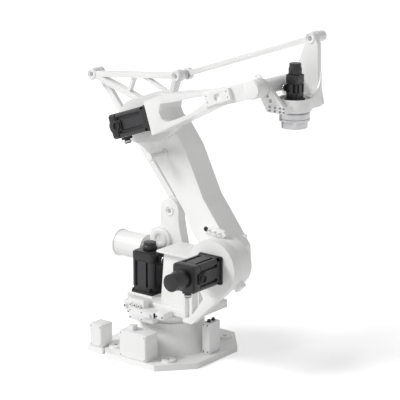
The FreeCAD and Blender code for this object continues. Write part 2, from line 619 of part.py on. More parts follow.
pin_end_top = top_rod_y + rod_thick / 2 + rod_play
link_pin_across("rocker_pin_rear", rear_x, rear_z, rocker_high, pin_end_rear)
link_pin_across("rocker_pin_front", front_x, front_z, rocker_high, pin_end_top)

# The two rods of the parallelograms: flat bars with an eye at each end.
rear_rod_wide = size("rear_rod_wide", 46, "rear rod width")
top_rod_wide = size("top_rod_wide", 36, "top rod width")
rear_eye = size("rear_eye", 40, "rear rod eye radius")
top_eye = size("top_eye", 38, "top rod eye radius")


def rod(name, start, end, middle, width, eye):
    """A flat rod with a bored eye at each end."""
    link = body(name)
    low, high = middle - rod_thick / 2, middle + rod_thick / 2
    add(link, "XZ", bar(start, end, width), low, high)
    for x_eye, z_eye in (start, end):
        add(link, "XZ", (x_eye, z_eye, eye), low, high)
    for x_eye, z_eye in (start, end):
        cut(link, "XZ", (x_eye, z_eye, link_pin + running_fit), low, high)


rod("rear_rod", (foot_x, foot_z), rear, rear_rod_y, rear_rod_wide, rear_eye)
rod("top_rod", front, (crown_x, crown_z), top_rod_y, top_rod_wide, top_eye)

# Upper arm: a deep open frame that narrows towards the wrist, with a cheek round the elbow shaft.
elbow_plate = size("elbow_plate", 140, "radius of the upper arm's elbow cheek")
frame_rear = size("frame_rear", 256, "rear face of the frame, ahead of the elbow")
frame_deep = size("frame_deep", 330, "end of the frame's full depth, ahead of the elbow")
frame_slim = size("frame_slim", 190, "start of the slim tube, behind the wrist")
inner_step = size("inner_step", 150, "start of the step in the inner face, behind the wrist")
wrist_boss = size("wrist_boss", 58, "radius of the upper arm's wrist boss")
wrist_boss_low = size("wrist_boss_low", -260, "wrist boss, outer face")
wrist_boss_high = size("wrist_boss_high", -165, "wrist boss, inner face")
wrist_pin_radius = size("wrist_pin_radius", 30, "wrist pin radius")
pad_low = size("pad_low", -288, "sensor pad on the upper arm, outer face")
pad_hole = size("pad_hole", 5, "radius of the four holes in the sensor pad")
pad_hole_deep = size("pad_hole_deep", 12, "depth of the four holes in the sensor pad")
dimple = size("dimple", 25, "radius of the dimple in the sensor pad")
dimple_deep = size("dimple_deep", 14, "depth of the dimple in the sensor pad")
upper_round = size("upper_round", 10, "corner radius of the upper arm")
cheek_overlap = size("cheek_overlap", 60, "how far the elbow cheek runs into the frame")
wrist_end_space = size("wrist_end_space", 80, "how far the tapering cuts run past the wrist axis")
upper = body("upper_arm")


def on_upper_arm(corners):
    """Corners given ahead of the elbow and across the upper arm."""
    return tilted(elbow_x, elbow_z, upper_pitch, corners)


add(upper, "XZ", on_upper_arm([(frame_rear, -112), (488, -79), (733, -42), (upper_length, -54),
                               (upper_length, 56), (869, 54), (640, 71), (394, 110), (frame_rear, 102)]),
    upper_low, upper_high)
soften(upper, upper_round, along(y_way))
slim_x = wrist_x - frame_slim
deep_x = on_upper_arm([(frame_deep, 0)])[0][0]
cut_end = wrist_x + wrist_end_space
cut(upper, "XY", [(deep_x, upper_low), (slim_x, wrist_boss_low), (cut_end, wrist_boss_low),
                  (cut_end, upper_low)],
    elbow_z - 160, wrist_z + 120)
cut(upper, "XY", rect(wrist_x - inner_step, cut_end, wrist_boss_high, upper_high),
    elbow_z - 160, wrist_z + 120)
add(upper, "XZ", on_upper_arm([(20, -elbow_plate), (150, -160), (frame_rear + cheek_overlap, -114),
                               (frame_rear + cheek_overlap, 104), (216, 146), (20, elbow_plate)]),
    elbow_cheek, upper_high)
add(upper, "XZ", (elbow_x, elbow_z, elbow_plate), elbow_cheek, upper_high)
add(upper, "XZ", (wrist_x, wrist_z, wrist_boss), wrist_boss_low, wrist_boss_high)
cut(upper, "XZ", on_upper_arm([(356, 17), (362, -31), (389, -57), (488, -51), (569, -40), (671, -6), (703, 10),
                               (703, 36), (632, 44), (464, 52), (383, 62)]), upper_low, upper_high)
add(upper, "XZ", on_upper_arm([(690, -30), (892, -24), (892, 46), (702, 58)]), pad_low, wrist_boss_low + 20)
cut(upper, "XZ", on_upper_arm([(795, 10)])[0] + (dimple,), pad_low, pad_low + dimple_deep)
for ahead, across in ((714, 34), (714, -6), (872, 30), (872, -4)):
    cut(upper, "XZ", on_upper_arm([(ahead, across)])[0] + (pad_hole,), pad_low, pad_low + pad_hole_deep)
cut(upper, "XZ", (elbow_x, elbow_z, elbow_pin + running_fit), elbow_cheek + 10, upper_high)
cut(upper, "XZ", (wrist_x, wrist_z, wrist_pin_radius), wrist_boss_low, wrist_boss_high)

wrist_pin = body("wrist_pin")
wrist_end = size("wrist_end", 186, "rod side end of the wrist pin")
wrist_cap_rim = size("wrist_cap_rim", 4, "how much smaller the wrist pin's head is than its boss")
add(wrist_pin, "XZ", (wrist_x, wrist_z, wrist_pin_radius), wrist_boss_low, wrist_end)
add(wrist_pin, "XZ", (wrist_x, wrist_z, wrist_boss - wrist_cap_rim),
    wrist_boss_low - head_thick, wrist_boss_low)

# Elbow motor: it lies along the upper arm, bolted to the frame's rear face, outside the elbow cheek.
elbow_motor_y = size("elbow_motor_y", -251, "elbow motor axis, side to side")
elbow_flange = size("elbow_flange", 166, "flange side of the elbow motor")
elbow_body = size("elbow_body", 158, "body side of the elbow motor")
elbow_tail = size("elbow_tail", 116, "rear cap side of the elbow motor")


def lying(name, rear, front, side, corner):
    """One square length of the elbow motor, between two places ahead of the elbow."""
    piece = body(name)
    add(piece, "XZ", on_upper_arm(rect(rear, front, -side / 2, side / 2)),
        elbow_motor_y - side / 2, elbow_motor_y + side / 2)
    arm_way = Vector(math.cos(math.radians(upper_pitch.value)), 0, math.sin(math.radians(upper_pitch.value)))
    soften(piece, corner, along(arm_way))
    return piece


elbow_back = frame_rear - elbow_length
elbow_motor = lying("motor_3_body", elbow_back, frame_rear - flange_thick / 2, elbow_body, motor_round)
elbow_seat = frame_rear - flange_thick
add(elbow_motor, "XZ", on_upper_arm([(elbow_seat, -elbow_flange / 2), (frame_rear, -elbow_flange / 2),
                                     (frame_rear, elbow_flange / 2), (elbow_seat, elbow_flange / 2)]),
    elbow_motor_y - elbow_flange / 2, elbow_motor_y + elbow_flange / 2)
lying("motor_3_cap", elbow_back - elbow_cap, elbow_back, elbow_tail, cap_round)
elbow_plug = body("motor_3_plug")
plug_near = -elbow_body / 2
plug_start = elbow_back + elbow_inset
plug_end = plug_start + plug_side
add(elbow_plug, "XZ", on_upper_arm([(plug_start, plug_near - plug_rise), (plug_end, plug_near - plug_rise),
                                    (plug_end, plug_near), (plug_start, plug_near)]),
    elbow_motor_y - plug_side / 2, elbow_motor_y + plug_side / 2)

# Wrist: a barrel on the wrist pin, two webs down to a round housing, and the block for the side plate.
barrel_radius = size("barrel_radius", 46, "wrist barrel radius")
barrel_low = size("barrel_low", -160, "wrist barrel, motor side end")
web_out = size("web_out", 94, "outer face of the wrist webs")
web_in = size("web_in", 62, "inner face of the wrist webs")
housing_radius = size("housing_radius", 104, "wrist housing radius")
housing_low = size("housing_low", 1706, "underside of the wrist housing")
housing_high = size("housing_high", 1764, "top of the wrist housing")
near_web_thick = size("near_web_thick", 30, "thickness of the wrist web on the motors' side")
web_hole_high = size("web_hole_high", 13, "radius of the upper hole in the webs")
web_hole_low = size("web_hole_low", 12, "radius of the lower hole in the webs")
wrist = body("wrist_casting")
add(wrist, "XY", (tool_x, 0, housing_radius), housing_low, housing_high)
web = [(wrist_x - 36, wrist_z - 16), (wrist_x + 2, wrist_z - barrel_radius - 60), (tool_x - 60, housing_low),
       (tool_x + 20, housing_low), (tool_x + 20, housing_high + 26), (tool_x - 34, housing_high + 40),
       (wrist_x + 30, wrist_z + 30)]
add(wrist, "XZ", web, web_in, web_out)
near_web = [(wrist_x - 40, wrist_z + 20), (wrist_x - 22, wrist_z - 42), (wrist_x + 36, housing_low),
            (tool_x + 44, housing_low), (tool_x + 44, housing_high - 26), (wrist_x + 14, wrist_z + 44)]
add(wrist, "XZ", near_web, barrel_low, barrel_low + near_web_thick)
add(wrist, "XZ", rect(wrist_x + 36, tool_x + 44, housing_low, housing_high - 16), barrel_low, 0)
add(wrist, "XZ", (wrist_x, wrist_z, barrel_radius), barrel_low, yoke_low)
add(wrist, "XZ", rect(tool_x - 40, tool_x + 62, housing_low, housing_high), 0, yoke_low)
cut(wrist, "XZ", (wrist_x, wrist_z, wrist_pin_radius + running_fit), barrel_low, yoke_low)
cut(wrist, "XZ", (wrist_x + 40, wrist_z - 44, web_hole_high), barrel_low, web_out)
cut(wrist, "XZ", (wrist_x + 62, wrist_z - 74, web_hole_low), barrel_low, web_out)

yoke_round = size("yoke_round", 14, "corner radius of the wrist side plate")
crown_step = size("crown_step", 4, "how far the crown boss stands out of the side plate")
yoke = body("wrist_side_plate")
add(yoke, "XZ", [(wrist_x - 40, wrist_z - 44), (tool_x - 60, housing_low), (tool_x + 62, housing_low),
                 (crown_x + 64, housing_high + 60), (crown_x + 56, crown_z - 30), (crown_x + 24, crown_z + 26),
                 (crown_x - 24, crown_z + 26), (crown_x - 46, crown_z - 60), (wrist_x - 10, wrist_z + 52)],
    yoke_low, yoke_high)
soften(yoke, yoke_round, along(y_way))
add(yoke, "XZ", (crown_x, crown_z, top_eye - 2), yoke_low, yoke_high + crown_step)
link_pin_across("crown_pin", crown_x, crown_z, yoke_high + crown_step, pin_end_top)

# Tool drive: the small motor on the housing, its gear unit and the flange that turns under it.
small_flange = size("small_flange", 92, "flange side of the tool motor")
small_body = size("small_body", 86, "body side of the tool motor")
small_length = size("small_length", 162, "tool motor, flange face to cap")
small_cap = size("small_cap", 62, "tool motor cap side")
small_cap_length = size("small_cap_length", 62, "tool motor cap length")
small_flange_thick = size("small_flange_thick", 12, "tool motor flange thickness")
small_round = size("small_round", 6, "corner radius of the tool motor")
small_cap_round = size("small_cap_round", 10, "corner radius of the tool motor's cap")
small_plug_out = size("small_plug_out", 26, "how far the tool motor's plug stands out")
small_plug_low = size("small_plug_low", 48, "tool motor's plug, underside above the housing")
small_plug_high = size("small_plug_high", 98, "tool motor's plug, top above the housing")
gear_low = size("gear_low", 1644, "underside of the tool gear unit")
tool_gear_radius = size("tool_gear_radius", 94, "tool gear unit radius")
tool_flange_radius = size("tool_flange_radius", 80, "tool flange radius")
tool_face = size("tool_face", 1600, "tool flange face")
tool_bolt_circle = size("tool_bolt_circle", 125, "bolt circle diameter of the tool flange")
tool_bolt_hole = size("tool_bolt_hole", 10.5, "bolt hole diameter of the tool flange")
tool_pilot = size("tool_pilot", 80, "pilot bore diameter of the tool flange")
pilot_deep = size("pilot_deep", 8, "depth of the pilot bore")
tool_way = size("tool_way", 25, "radius of the cable way through the tool flange")
gear_neck = size("gear_neck", 6, "height of the tool gear unit's neck")
gear_neck_step = size("gear_neck_step", 10, "how much smaller the neck is than the gear unit")

small_motor = body("motor_4_body")
add(small_motor, "XY", square(tool_x, 0, small_flange), housing_high, housing_high + small_flange_thick)
add(small_motor, "XY", square(tool_x, 0, small_body), housing_high, housing_high + small_length)
soften(small_motor, small_round, along(z_way))
small_motor_cap = body("motor_4_cap")
add(small_motor_cap, "XY", square(tool_x, 0, small_cap),
    housing_high + small_length, housing_high + small_length + small_cap_length)
soften(small_motor_cap, small_cap_round, along(z_way))
small_plug = body("motor_4_plug")
add(small_plug, "XY", rect(tool_x - small_body / 2 - small_plug_out, tool_x - small_body / 2, -46, -8),
    housing_high + small_plug_low, housing_high + small_plug_high)
tool_gear = body("tool_gear")
add(tool_gear, "XY", (tool_x, 0, tool_gear_radius), gear_low, housing_low - gear_neck)
add(tool_gear, "XY", (tool_x, 0, tool_gear_radius - gear_neck_step), housing_low - gear_neck, housing_low)

flange = body("tool_flange")
add(flange, "XY", (tool_x, 0, tool_flange_radius), tool_face, gear_low - ring_gap)
cut(flange, "XY", (tool_x, 0, tool_pilot / 2), tool_face, tool_face + pilot_deep)
cut(flange, "XY", (tool_x, 0, tool_way), tool_face, gear_low - ring_gap)
for number in range(6):
    turn = number * 60.0
    cut(flange, "XY", (tool_x + tool_bolt_circle / 2 * math.cos(math.radians(turn)),
                       tool_bolt_circle / 2 * math.sin(math.radians(turn)), tool_bolt_hole / 2),
        tool_face, gear_low - ring_gap)

# Every object must have built cleanly before anything is written.
doc.recompute()
for thing in doc.Objects:
    if "Invalid" in thing.State or "Error" in thing.State:
        raise RuntimeError(f"{thing.Name} failed to build")
for piece in pieces:
    if piece.Shape.isNull() or not piece.Shape.isValid():
        raise RuntimeError(f"{piece.Label} has no valid shape")
    if len(piece.Shape.Solids) != 1:
        raise RuntimeError(f"{piece.Label} is not one solid")

os.makedirs("parts", exist_ok=True)
for piece in pieces:
    piece.Shape.exportStep(f"parts/{piece.Label}.step")
print(len(pieces), "sub-parts")
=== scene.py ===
import json
import math
import bmesh
import bpy
from mathutils import Matrix, Vector

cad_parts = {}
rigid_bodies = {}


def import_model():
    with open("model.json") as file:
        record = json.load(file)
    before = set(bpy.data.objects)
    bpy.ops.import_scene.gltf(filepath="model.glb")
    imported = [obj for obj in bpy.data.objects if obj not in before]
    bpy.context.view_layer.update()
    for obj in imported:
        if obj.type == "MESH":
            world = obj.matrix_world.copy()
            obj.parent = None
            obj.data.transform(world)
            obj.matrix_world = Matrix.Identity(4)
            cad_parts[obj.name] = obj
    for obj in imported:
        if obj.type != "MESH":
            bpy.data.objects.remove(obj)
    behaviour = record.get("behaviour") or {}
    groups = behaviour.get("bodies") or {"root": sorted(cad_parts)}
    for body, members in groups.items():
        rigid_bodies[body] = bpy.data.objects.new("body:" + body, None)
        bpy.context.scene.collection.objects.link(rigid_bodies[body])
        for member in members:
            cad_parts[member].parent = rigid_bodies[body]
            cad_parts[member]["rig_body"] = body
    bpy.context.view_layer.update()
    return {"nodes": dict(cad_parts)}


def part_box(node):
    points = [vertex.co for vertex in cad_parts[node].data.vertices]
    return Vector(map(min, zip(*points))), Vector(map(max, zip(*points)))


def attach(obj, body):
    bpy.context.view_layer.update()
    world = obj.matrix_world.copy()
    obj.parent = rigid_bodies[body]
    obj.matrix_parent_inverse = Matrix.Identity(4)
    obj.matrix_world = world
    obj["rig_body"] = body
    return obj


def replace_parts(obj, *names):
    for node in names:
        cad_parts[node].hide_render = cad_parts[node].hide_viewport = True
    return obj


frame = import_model()

# Base casting. The eight-sided foot, its flared pedestal and the anchor pads are one iron casting, sprayed
# satin white. Its surface has a faint sand texture, and its edges keep the radius of the foundry pattern.


def linear(hex_code):
    """Turn an sRGB hex value into the linear colour that a shader takes."""
    parts = [int(hex_code[start:start + 2], 16) / 255 for start in (0, 2, 4)]
    return [part / 12.92 if part <= 0.04045 else ((part + 0.055) / 1.055) ** 2.4 for part in parts] + [1.0]


def add_node(tree, kind, **values):
    """Add one node, with its settings by name and its inputs by their labels."""
    node = tree.nodes.new(kind)
    for name, value in values.items():
        if hasattr(node, name):
            setattr(node, name, value)
        else:
            node.inputs[name.replace("_", " ")].default_value = value
    return node


def finish_material(name, light, dark, roughness, metallic=0.0, grain_mm=1.2, relief=0.12, coat=0.0,
                    patch_mm=260):
    """A surface with a slow drift of tone and a fine relief, both sized in millimetres."""
    colour_a, colour_b, colour_out = 6, 7, 2
    material = bpy.data.materials.new(name)
    material.use_nodes = True
    tree = material.node_tree
    shader = tree.nodes["Principled BSDF"]
    shader.inputs["Metallic"].default_value = metallic
    shader.inputs["Coat Weight"].default_value = coat
    place = add_node(tree, "ShaderNodeTexCoord")
    drift = add_node(tree, "ShaderNodeTexNoise", Scale=1000 / patch_mm, Detail=3.0)
    grain = add_node(tree, "ShaderNodeTexNoise", Scale=1000 / grain_mm, Detail=2.0)
    tone = add_node(tree, "ShaderNodeMix", data_type="RGBA")
    tone.inputs[colour_a].default_value = linear(light)
    tone.inputs[colour_b].default_value = linear(dark)
    sheen = add_node(tree, "ShaderNodeMapRange", To_Min=roughness - 0.05, To_Max=roughness + 0.06)
    bump = add_node(tree, "ShaderNodeBump", Strength=relief, Distance=0.0004)
    tree.links.new(place.outputs["Object"], drift.inputs["Vector"])
    tree.links.new(place.outputs["Object"], grain.inputs["Vector"])
    tree.links.new(drift.outputs["Fac"], tone.inputs["Factor"])
    tree.links.new(drift.outputs["Fac"], sheen.inputs["Value"])
    tree.links.new(grain.outputs["Fac"], bump.inputs["Height"])
    tree.links.new(tone.outputs[colour_out], shader.inputs["Base Color"])
    tree.links.new(sheen.outputs["Result"], shader.inputs["Roughness"])
    tree.links.new(bump.outputs["Normal"], shader.inputs["Normal"])
    return material


def owner(node):
    """The body of the machine that a CAD piece moves with."""
    return frame["nodes"][node]["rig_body"]


def smooth_by_angle(mesh, degrees=32):
    """Smooth the faces and keep as sharp the edges that turn by more than an angle."""
    shape = bmesh.new()
    shape.from_mesh(mesh)
    for face in shape.faces:
        face.smooth = True
    for edge in shape.edges:
        edge.smooth = edge.calc_face_angle(0.0) < math.radians(degrees)
    shape.to_mesh(mesh)
    shape.free()


def make_piece(name, mesh, material, body):
    """A finished object that moves with one body of the machine."""
    piece = bpy.data.objects.new(name, mesh)
    bpy.context.scene.collection.objects.link(piece)
    mesh.materials.clear()
    mesh.materials.append(material)
    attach(piece, body)
    return piece


def evaluated_mesh(thing):
    """The plain mesh of an object after its modifiers, with the object itself taken away."""
    bpy.context.view_layer.update()
    mesh = bpy.data.meshes.new_from_object(thing.evaluated_get(bpy.context.evaluated_depsgraph_get()))
    bpy.data.objects.remove(thing)
    return mesh


def bevelled(mesh, width, segments=2, edge_degrees=34):
    """The mesh with its edges rounded where they turn by more than an angle."""
    blank = bpy.data.objects.new("blank", mesh)
    bpy.context.scene.collection.objects.link(blank)
    bevel = blank.modifiers.new("edge", "BEVEL")
    bevel.width = width
    bevel.segments = segments
    bevel.limit_method = "ANGLE"
    bevel.angle_limit = math.radians(edge_degrees)
    result = evaluated_mesh(blank)
    smooth_by_angle(result)
    return result


def rounded(node, width_mm, material, segments=3):
    """Stand in for a CAD piece with the same shape, its edges rounded."""
    weld, flat = 0.00002, math.radians(1.0)
    mesh = frame["nodes"][node].data.copy()
    shape = bmesh.new()
    shape.from_mesh(mesh)
    bmesh.ops.remove_doubles(shape, verts=shape.verts, dist=weld)
    bmesh.ops.dissolve_limit(shape, angle_limit=flat, verts=shape.verts, edges=shape.edges)
    shape.to_mesh(mesh)
    shape.free()
    piece = make_piece(f"{node}_finished", bevelled(mesh, width_mm / 1000, segments), material, owner(node))
    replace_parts(piece, node)


iron_paint = finish_material("satin white paint on cast iron", "F2F2F1", "E9E9E8", 0.42, relief=0.2,
                             grain_mm=2.2)
rounded("base_casting", 4, iron_paint)

# Junction boxes and cable outlet box. Each is folded from steel sheet, powder coated white and fixed on the
# foot. A junction box has a lid towards the motors' side, with a cap screw at each corner; the front one
# carries a small connector, and two black plugs stand on the outlet box.


def prism(outline, low, high):
    """A straight prism of an outline, along Z."""
    mesh = bpy.data.meshes.new("prism")
    shape = bmesh.new()
    loops = [[shape.verts.new((x, y, level)) for x, y in outline] for level in (low, high)]
    shape.faces.new(list(reversed(loops[0])))
    shape.faces.new(loops[1])
    count = len(outline)
    for index in range(count):
        after = (index + 1) % count
        shape.faces.new((loops[0][index], loops[0][after], loops[1][after], loops[1][index]))
    shape.normal_update()
    shape.to_mesh(mesh)
    shape.free()
    return mesh


def rectangle(x_low, y_low, x_high, y_high):
    """The outline of a rectangle, between two corners."""
    return [(x_low, y_low), (x_high, y_low), (x_high, y_high), (x_low, y_high)]


def case(low_corner, high_corner, width=0.003):
    """A small closed case with rounded edges, between two corners."""
    (x_low, y_low, z_low), (x_high, y_high, z_high) = low_corner, high_corner
    return bevelled(prism(rectangle(x_low, y_low, x_high, y_high), z_low, z_high), width)


def turned(steps, sides=56):
    """A solid turned about the Z axis, from (radius, height) steps."""
    mesh = bpy.data.meshes.new("turned")
    shape = bmesh.new()
    rings = []
    for radius, height in steps:
        angles = [2 * math.pi * side / sides for side in range(sides)]
        rings.append([shape.verts.new((radius * math.cos(angle), radius * math.sin(angle), height))
                      for angle in angles])
    for lower, upper in zip(rings, rings[1:]):
        for side in range(sides):
            after = (side + 1) % sides
            shape.faces.new((lower[side], lower[after], upper[after], upper[side]))
    shape.faces.new(list(reversed(rings[0])))
    shape.faces.new(rings[-1])
    bmesh.ops.recalc_face_normals(shape, faces=shape.faces)
    shape.to_mesh(mesh)
    shape.free()
    return mesh


def placed(mesh, place):
    """The same mesh, moved to its place in the machine."""
    mesh.transform(place)
    return mesh


def facing_motors(x, y, z):
    """A place whose own up points straight out of the motors' side of the machine."""
    return Matrix.Translation((x, y, z)) @ Matrix.Rotation(math.radians(90), 4, "X")


def merged(meshes):
    """One mesh out of several."""
    shape = bmesh.new()
    for mesh in meshes:
        shape.from_mesh(mesh)
    result = bpy.data.meshes.new("merged")
    shape.to_mesh(result)
    shape.free()
    return result


def socket_screw_group():
    """The node group that makes hexagon socket cap screws at a list of places, all facing one way."""
    socket_share = 0.52
    group = bpy.data.node_groups.new("socket screws", "GeometryNodeTree")
    for label, kind in (("Places", "NodeSocketGeometry"), ("Head Radius", "NodeSocketFloat"),
                        ("Head Height", "NodeSocketFloat"), ("Facing", "NodeSocketVector"),
                        ("Finish", "NodeSocketMaterial")):
        group.interface.new_socket(label, in_out="INPUT", socket_type=kind)
    group.interface.new_socket("Screws", in_out="OUTPUT", socket_type="NodeSocketGeometry")
    given = add_node(group, "NodeGroupInput")
    made = add_node(group, "NodeGroupOutput")
    head = add_node(group, "GeometryNodeMeshCylinder", Vertices=24)
    socket = add_node(group, "GeometryNodeMeshCylinder", Vertices=6)
    socket_radius = add_node(group, "ShaderNodeMath", operation="MULTIPLY")
    socket_radius.inputs[1].default_value = socket_share
    half_height = add_node(group, "ShaderNodeMath", operation="MULTIPLY")
    half_height.inputs[1].default_value = 0.5
    lift = add_node(group, "ShaderNodeCombineXYZ")
    raised = add_node(group, "GeometryNodeTransform")
    seat_shift = add_node(group, "ShaderNodeCombineXYZ")
    seated = add_node(group, "GeometryNodeTransform")
    hollow = add_node(group, "GeometryNodeMeshBoolean", operation="DIFFERENCE")
    aim = add_node(group, "FunctionNodeAlignRotationToVector", axis="Z")
    scatter = add_node(group, "GeometryNodeInstanceOnPoints")
    solid = add_node(group, "GeometryNodeRealizeInstances")
    coat = add_node(group, "GeometryNodeSetMaterial")
    for source, target in ((given.outputs["Head Radius"], head.inputs["Radius"]),
                           (given.outputs["Head Height"], head.inputs["Depth"]),
                           (given.outputs["Head Radius"], socket_radius.inputs[0]),
                           (socket_radius.outputs[0], socket.inputs["Radius"]),
                           (given.outputs["Head Height"], socket.inputs["Depth"]),
                           (given.outputs["Head Height"], half_height.inputs[0]),
                           (half_height.outputs[0], lift.inputs["Z"]),
                           (socket.outputs["Mesh"], raised.inputs["Geometry"]),
                           (lift.outputs[0], raised.inputs["Translation"]),
                           (head.outputs["Mesh"], hollow.inputs["Mesh 1"]),
                           (raised.outputs[0], hollow.inputs["Mesh 2"]),
                           (half_height.outputs[0], seat_shift.inputs["Z"]),
                           (hollow.outputs["Mesh"], seated.inputs["Geometry"]),
                           (seat_shift.outputs[0], seated.inputs["Translation"]),
                           (given.outputs["Places"], scatter.inputs["Points"]),
                           (seated.outputs[0], scatter.inputs["Instance"]),
                           (given.outputs["Facing"], aim.inputs["Vector"]),
                           (aim.outputs[0], scatter.inputs["Rotation"]),
                           (scatter.outputs[0], solid.inputs[0]),
                           (solid.outputs[0], coat.inputs["Geometry"]),
                           (given.outputs["Finish"], coat.inputs["Material"]),
                           (coat.outputs[0], made.inputs["Screws"])):
        group.links.new(source, target)
    return group


screw_group = socket_screw_group()
screw_steel = finish_material("zinc plated cap screws", "9B9EA3", "74777C", 0.33, metallic=1.0, grain_mm=0.3,
                              patch_mm=20)
out_y, up_z = Vector((0, -1, 0)), Vector((0, 0, 1))


def screws(name, places, facing, radius_mm, height_mm, body, material=screw_steel):
    """A set of cap screws at the given places, all facing one way."""
    mesh = bpy.data.meshes.new(name)
    mesh.from_pydata([tuple(place) for place in places], [], [])
    carrier = bpy.data.objects.new(f"{name}_places", mesh)
    bpy.context.scene.collection.objects.link(carrier)
    modifier = carrier.modifiers.new("screws", "NODES")
    modifier.node_group = screw_group
    inputs = {item.name: item.identifier for item in screw_group.interface.items_tree
              if item.in_out == "INPUT"}
    modifier[inputs["Head Radius"]] = radius_mm / 1000
    modifier[inputs["Head Height"]] = height_mm / 1000
    modifier[inputs["Facing"]] = tuple(facing)
    modifier[inputs["Finish"]] = material
    make_piece(name, evaluated_mesh(carrier), material, body)


box_paint = finish_material("white powder coat on sheet steel", "EFEFEE", "E6E6E6", 0.5, grain_mm=0.8)
# Black moulded plastic for plugs, sockets and grommets, also used as painted shade inside gland and manifold
# bores.
black_plastic_and_hole_shade = finish_material("black moulded plastic and painted hole shade", "111112", "0B0B0C", 0.55, grain_mm=0.5)
screw_inset, screw_radius_mm, screw_height_mm = 0.014, 4.5, 3.5
for node in ("junction_box_front", "junction_box_rear", "cable_outlet_box"):
    rounded(node, 4, box_paint)
    low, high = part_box(node)
    corners = [Vector((x, low.y, z)) for x in (low.x + screw_inset, high.x - screw_inset)
               for z in (low.z + screw_inset, high.z - screw_inset)]
    screws(f"{node}_screws", corners, out_y, screw_radius_mm, screw_height_mm, "base")
lid_margin, lid_depth, lid_sink = 0.007, 0.003, 0.0002
for node in ("junction_box_front", "junction_box_rear"):
    low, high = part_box(node)
    outline = rectangle(low.x + lid_margin, low.z + lid_margin, high.x - lid_margin, high.z - lid_margin)
    lid = bevelled(prism(outline, 0, lid_depth), 0.0008, 1)
    make_piece(f"{node}_lid", placed(lid, facing_motors(0, low.y + lid_sink, 0)), box_paint, "base")
low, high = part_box("junction_box_front")
connector_x, connector_half = low.x + 0.07, 0.022
connector = case((connector_x - connector_half, low.y + 0.03, high.z - 0.002),
                 (connector_x + connector_half, low.y + 0.074, high.z + 0.034))
make_piece("junction_box_socket", connector, box_paint, "base")
low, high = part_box("cable_outlet_box")
outlets = []
for share in (0.3, 0.7):
    outlet = turned([(0.013, -0.002), (0.013, 0.009), (0.0095, 0.009), (0.0095, 0.018)])
    place = Matrix.Translation(((low.x + high.x) / 2, low.y + (high.y - low.y) * share, high.z))
    outlets.append(placed(outlet, place))
make_piece("cable_outlet_plugs", bevelled(merged(outlets), 0.0008), black_plastic_and_hole_shade, "base")

# Slew bearing. Two turned iron rings carry the turret: the lower one is bolted to the pedestal by a circle
# of sunk cap screws, and the upper one turns with the deck.


def circle_of_places(centre, radius, count, level, start):
    """Places round an upright axis."""
    angles = [start + 2 * math.pi * step / count for step in range(count)]
    return [Vector((centre.x + radius * math.cos(angle), centre.y + radius * math.sin(angle), level))
            for angle in angles]


for node in ("slew_ring", "slew_ring_turning"):
    rounded(node, 2, iron_paint, 2)
ring_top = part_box("slew_ring")[1].z
ring_places = circle_of_places(Vector((0, 0, 0)), radius=0.194, count=24, level=ring_top - 0.004, start=0.1)
screws("slew_ring_screws", ring_places, up_z, 5, 4, "base")

# Turret castings. The deck, the column with its shelf, the ribbed cheek that holds the shoulder and the post
# of the rear rod are iron castings bolted together, in the same paint as the base.
for node in ("turret_deck", "turret_column", "drive_cheek", "link_post"):
    rounded(node, 5, iron_paint)

# Cable blocks. Two sheet steel boxes hang on the deck's motor side, and the cables leave them through
# screwed glands. A black plug sunk in each gland's bore is painted shade of the open hole.
for node, shifts in (("cable_block_front", (-0.036, 0.0, 0.036)), ("cable_block_rear", (0.0,))):
    rounded(node, 4, box_paint)
    low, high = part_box(node)
    centre = (low + high) / 2
    glands = []
    painted_hole_shades = []
    for shift in shifts:
        seat = facing_motors(centre.x + shift, low.y, centre.z)
        gland = turned([(0.014, -0.002), (0.014, 0.008), (0.0115, 0.008), (0.0115, 0.016), (0.006, 0.016),
                        (0.006, 0.006)])
        glands.append(placed(gland, seat))
        # a black plug in the gland's bore, as painted shade of the hole
        painted_hole_shades.append(placed(turned([(0.0055, 0.004), (0.0055, 0.0145)]), seat))
    make_piece(f"{node}_glands", bevelled(merged(glands), 0.0006, 1), box_paint, "turret")
    make_piece(f"{node}_gland_painted_hole_shade", merged(painted_hole_shades), black_plastic_and_hole_shade, "turret")

# Cable manifold. A group of closed white terminal boxes is screwed to the rim of the deck below the cable
# blocks. It clears the fixed ring of the bearing, and its lower front box hangs outside that ring.
case_foot = ring_top + 0.002
manifold_face = -0.286
cases = [case((-0.112, -0.28, case_foot), (0.088, -0.178, 0.324)),
         case((-0.112, manifold_face, 0.254), (0.088, -0.226, 0.326)),
         case((0.092, -0.268, case_foot + 0.002), (0.162, -0.178, 0.332)),
         case((-0.158, -0.262, case_foot), (-0.116, -0.178, 0.302)),
         case((0.012, -0.3, case_foot + 0.004), (0.072, -0.28, 0.318), 0.002)]
make_piece("cable_manifold", merged(cases), box_paint, "turret")
# Thin black discs on the boxes' faces, with no hole cut: painted shade of bores.
painted_bore_shades = []
for x, y, z in ((0.104, -0.268, 0.306), (-0.137, -0.262, 0.288), (0.15, -0.268, 0.306)):
    painted_bore_shades.append(placed(turned([(0.0055, -0.001), (0.0055, 0.0015)]), facing_motors(x, y, z)))
make_piece("cable_manifold_painted_bore_shade", merged(painted_bore_shades), black_plastic_and_hole_shade, "turret")
manifold_places = [Vector((x, manifold_face, z)) for x in (-0.1, -0.006) for z in (0.266, 0.314)]
screws("cable_manifold_screws", manifold_places, out_y, 4, 3, "turret")

# Shoulder gear unit, with the shafts of the shoulder and the elbow. They are turned from steel, ground and
# oiled; their shape needs nothing more, so the finish goes on the CAD pieces themselves.
ground_steel = finish_material("ground and oiled steel", "B4B6B9", "96989C", 0.26, metallic=1.0, grain_mm=0.5,
                               patch_mm=60)
for node in ("shoulder_gear", "shoulder_shaft", "elbow_shaft"):
    slots = frame["nodes"][node].data.materials
    slots.clear()
    slots.append(ground_steel)

